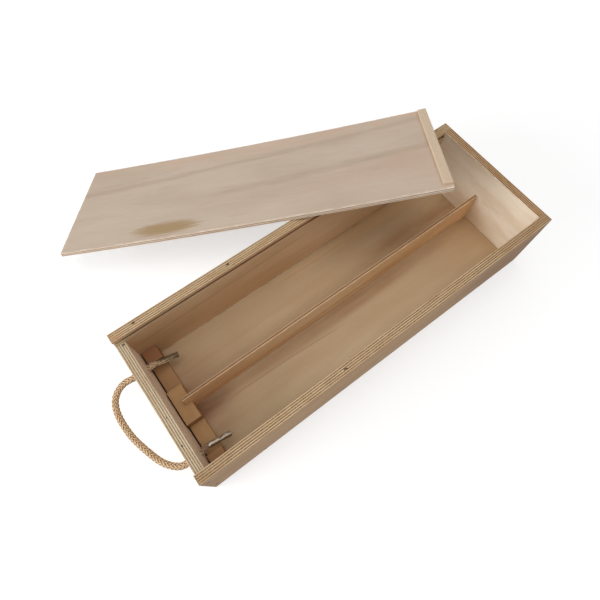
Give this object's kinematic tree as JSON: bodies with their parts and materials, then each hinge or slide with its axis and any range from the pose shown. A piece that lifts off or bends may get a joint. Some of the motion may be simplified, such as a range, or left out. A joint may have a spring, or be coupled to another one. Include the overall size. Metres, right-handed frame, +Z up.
{
  "type": "wooden wine box",
  "caption": "Plywood wine box for two slim bottles, with a lid that slides in side grooves, a neck rest, a low divider and a rope handle; the lid is off and leans on a side wall.",
  "frame": {"origin": "centre of the box's underside, on the surface it stands on", "axes": "+X along the box from the low end with the rope handle to the high end, +Y across it towards the side wall that the loose lid leans on, +Z up"},
  "size_m": [0.3958, 0.3442, 0.1077],
  "materials": {
    "plywood_walls": "raw sawn plywood with striped edges",
    "plywood_floor": "raw plywood face",
    "plywood_divider": "raw thin plywood",
    "plywood_lid": "raw pale plywood with pinkish streaks",
    "pine_block": "raw sawn softwood",
    "pine_batten": "raw planed softwood",
    "sisal_rope": "braided natural fibre",
    "sleeve_steel": "dull rolled sheet",
    "brad_steel": "dull"
  },
  "bodies": {
    "box": {"side_wall_near": "plywood_walls", "side_wall_far": "plywood_walls", "end_wall_low": "plywood_walls", "end_wall_high": "plywood_walls", "bottom_panel": "plywood_floor", "divider": "plywood_divider", "neck_rest": "pine_block", "rope_end_near": "sisal_rope", "rope_end_far": "sisal_rope", "rope_sleeve_near": "sleeve_steel", "rope_sleeve_far": "sleeve_steel", "corner_brads": "brad_steel", "bottom_brads": "brad_steel"},
    "lid": {"lid_panel": "plywood_lid", "lid_batten": "pine_batten"},
    "handle": {"rope_loop": "sisal_rope"}
  },
  "joints": [
    {"name": "lid_lift", "type": "slide", "parent": "box", "child": "lid", "axis": [0, 0, 1], "range_m": [0, 0.15]},
    {"name": "handle_swing", "type": "hinge", "parent": "box", "child": "handle", "pos_m": [-0.1833, 0, 0.033], "axis": [0, 1, 0], "range_deg": [-45, 105]}
  ]
}
